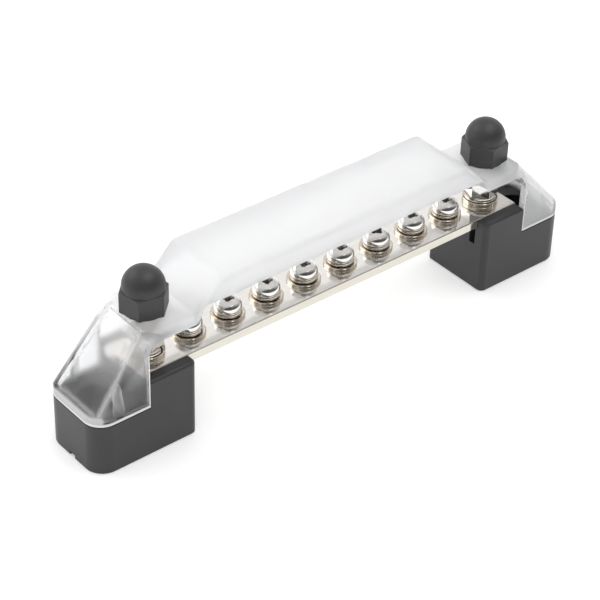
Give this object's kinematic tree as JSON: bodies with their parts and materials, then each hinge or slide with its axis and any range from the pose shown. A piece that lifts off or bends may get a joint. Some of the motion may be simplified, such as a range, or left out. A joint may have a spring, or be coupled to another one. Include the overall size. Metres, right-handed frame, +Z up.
{
  "type": "power distribution block",
  "caption": "Flat plated bar with a row of terminal screws on two moulded end blocks, under a clear cover held down by domed cap nuts on end studs.",
  "frame": {"origin": "centre of the footprint, on the mounting surface", "axes": "+X along the bar, +Y across it, +Z up out of the mounting surface"},
  "size_m": [0.153, 0.0212, 0.0459],
  "materials": {
    "moulded_block": "fine satin black moulding",
    "black_cap": "satin black",
    "clear_cover": "clear, with a faint frosting on its sloping ends",
    "plated_bar": "nickel plated",
    "plated_steel": "bright plated",
    "spring_steel": "bright plated, a little darker"
  },
  "bodies": {
    "block_assembly": {"left_base_block": "moulded_block", "right_base_block": "moulded_block", "bus_bar": "plated_bar", "cover": "clear_cover", "left_stud": "plated_steel", "right_stud": "plated_steel", "left_stud_flat_washer": "plated_steel", "right_stud_flat_washer": "plated_steel"},
    "terminal_washers_1": {"terminal_flat_washer_1": "plated_steel", "terminal_spring_washer_1": "spring_steel"},
    "terminal_screw_1": {"terminal_screw_1": "plated_steel"},
    "terminal_washers_2": {"terminal_flat_washer_2": "plated_steel", "terminal_spring_washer_2": "spring_steel"},
    "terminal_screw_2": {"terminal_screw_2": "plated_steel"},
    "terminal_washers_3": {"terminal_flat_washer_3": "plated_steel", "terminal_spring_washer_3": "spring_steel"},
    "terminal_screw_3": {"terminal_screw_3": "plated_steel"},
    "terminal_washers_4": {"terminal_flat_washer_4": "plated_steel", "terminal_spring_washer_4": "spring_steel"},
    "terminal_screw_4": {"terminal_screw_4": "plated_steel"},
    "terminal_washers_5": {"terminal_flat_washer_5": "plated_steel", "terminal_spring_washer_5": "spring_steel"},
    "terminal_screw_5": {"terminal_screw_5": "plated_steel"},
    "terminal_washers_6": {"terminal_flat_washer_6": "plated_steel", "terminal_spring_washer_6": "spring_steel"},
    "terminal_screw_6": {"terminal_screw_6": "plated_steel"},
    "terminal_washers_7": {"terminal_flat_washer_7": "plated_steel", "terminal_spring_washer_7": "spring_steel"},
    "terminal_screw_7": {"terminal_screw_7": "plated_steel"},
    "terminal_washers_8": {"terminal_flat_washer_8": "plated_steel", "terminal_spring_washer_8": "spring_steel"},
    "terminal_screw_8": {"terminal_screw_8": "plated_steel"},
    "left_stud_washer": {"left_stud_spring_washer": "spring_steel"},
    "left_stud_nut": {"left_stud_nut": "plated_steel"},
    "left_cap_nut": {"left_cap_nut": "black_cap"},
    "right_stud_washer": {"right_stud_spring_washer": "spring_steel"},
    "right_stud_nut": {"right_stud_nut": "plated_steel"},
    "right_cap_nut": {"right_cap_nut": "black_cap"}
  },
  "joints": [
    {"name": "terminal_1_rise", "type": "slide", "parent": "block_assembly", "child": "terminal_washers_1", "axis": [0, 0, 1], "range_m": [0, 0.0056]},
    {"name": "terminal_1_turn", "type": "hinge", "parent": "terminal_washers_1", "child": "terminal_screw_1", "pos_m": [-0.042, 0, 0.02135], "axis": [0, 0, 1], "range_deg": [0, 2880]},
    {"name": "terminal_2_rise", "type": "slide", "parent": "block_assembly", "child": "terminal_washers_2", "axis": [0, 0, 1], "range_m": [0, 0.0056]},
    {"name": "terminal_2_turn", "type": "hinge", "parent": "terminal_washers_2", "child": "terminal_screw_2", "pos_m": [-0.03, 0, 0.02135], "axis": [0, 0, 1], "range_deg": [0, 2880]},
    {"name": "terminal_3_rise", "type": "slide", "parent": "block_assembly", "child": "terminal_washers_3", "axis": [0, 0, 1], "range_m": [0, 0.0056]},
    {"name": "terminal_3_turn", "type": "hinge", "parent": "terminal_washers_3", "child": "terminal_screw_3", "pos_m": [-0.018, 0, 0.02135], "axis": [0, 0, 1], "range_deg": [0, 2880]},
    {"name": "terminal_4_rise", "type": "slide", "parent": "block_assembly", "child": "terminal_washers_4", "axis": [0, 0, 1], "range_m": [0, 0.0056]},
    {"name": "terminal_4_turn", "type": "hinge", "parent": "terminal_washers_4", "child": "terminal_screw_4", "pos_m": [-0.006, 0, 0.02135], "axis": [0, 0, 1], "range_deg": [0, 2880]},
    {"name": "terminal_5_rise", "type": "slide", "parent": "block_assembly", "child": "terminal_washers_5", "axis": [0, 0, 1], "range_m": [0, 0.0056]},
    {"name": "terminal_5_turn", "type": "hinge", "parent": "terminal_washers_5", "child": "terminal_screw_5", "pos_m": [0.006, 0, 0.02135], "axis": [0, 0, 1], "range_deg": [0, 2880]},
    {"name": "terminal_6_rise", "type": "slide", "parent": "block_assembly", "child": "terminal_washers_6", "axis": [0, 0, 1], "range_m": [0, 0.0056]},
    {"name": "terminal_6_turn", "type": "hinge", "parent": "terminal_washers_6", "child": "terminal_screw_6", "pos_m": [0.018, 0, 0.02135], "axis": [0, 0, 1], "range_deg": [0, 2880]},
    {"name": "terminal_7_rise", "type": "slide", "parent": "block_assembly", "child": "terminal_washers_7", "axis": [0, 0, 1], "range_m": [0, 0.0056]},
    {"name": "terminal_7_turn", "type": "hinge", "parent": "terminal_washers_7", "child": "terminal_screw_7", "pos_m": [0.03, 0, 0.02135], "axis": [0, 0, 1], "range_deg": [0, 2880]},
    {"name": "terminal_8_rise", "type": "slide", "parent": "block_assembly", "child": "terminal_washers_8", "axis": [0, 0, 1], "range_m": [0, 0.0056]},
    {"name": "terminal_8_turn", "type": "hinge", "parent": "terminal_washers_8", "child": "terminal_screw_8", "pos_m": [0.042, 0, 0.02135], "axis": [0, 0, 1], "range_deg": [0, 2880]},
    {"name": "left_nut_rise", "type": "slide", "parent": "block_assembly", "child": "left_stud_washer", "axis": [0, 0, 1], "range_m": [0, 0.0035]},
    {"name": "left_nut_turn", "type": "hinge", "parent": "left_stud_washer", "child": "left_stud_nut", "pos_m": [-0.05475, 0, 0.02255], "axis": [0, 0, 1], "range_deg": [0, 1575]},
    {"name": "left_cap_nut_turn", "type": "hinge", "parent": "block_assembly", "child": "left_cap_nut", "pos_m": [-0.05475, 0, 0.034], "axis": [0, 0, 1], "continuous": true},
    {"name": "right_nut_rise", "type": "slide", "parent": "block_assembly", "child": "right_stud_washer", "axis": [0, 0, 1], "range_m": [0, 0.0035]},
    {"name": "right_nut_turn", "type": "hinge", "parent": "right_stud_washer", "child": "right_stud_nut", "pos_m": [0.05475, 0, 0.02255], "axis": [0, 0, 1], "range_deg": [0, 1575]},
    {"name": "right_cap_nut_turn", "type": "hinge", "parent": "block_assembly", "child": "right_cap_nut", "pos_m": [0.05475, 0, 0.034], "axis": [0, 0, 1], "continuous": true}
  ],
  "couplings": [
    {"joint": "terminal_1_turn", "follows": "terminal_1_rise", "rad_per_m": 8976},
    {"joint": "terminal_2_turn", "follows": "terminal_2_rise", "rad_per_m": 8976},
    {"joint": "terminal_3_turn", "follows": "terminal_3_rise", "rad_per_m": 8976},
    {"joint": "terminal_4_turn", "follows": "terminal_4_rise", "rad_per_m": 8976},
    {"joint": "terminal_5_turn", "follows": "terminal_5_rise", "rad_per_m": 8976},
    {"joint": "terminal_6_turn", "follows": "terminal_6_rise", "rad_per_m": 8976},
    {"joint": "terminal_7_turn", "follows": "terminal_7_rise", "rad_per_m": 8976},
    {"joint": "terminal_8_turn", "follows": "terminal_8_rise", "rad_per_m": 8976},
    {"joint": "left_nut_turn", "follows": "left_nut_rise", "rad_per_m": 7854},
    {"joint": "right_nut_turn", "follows": "right_nut_rise", "rad_per_m": 7854}
  ]
}
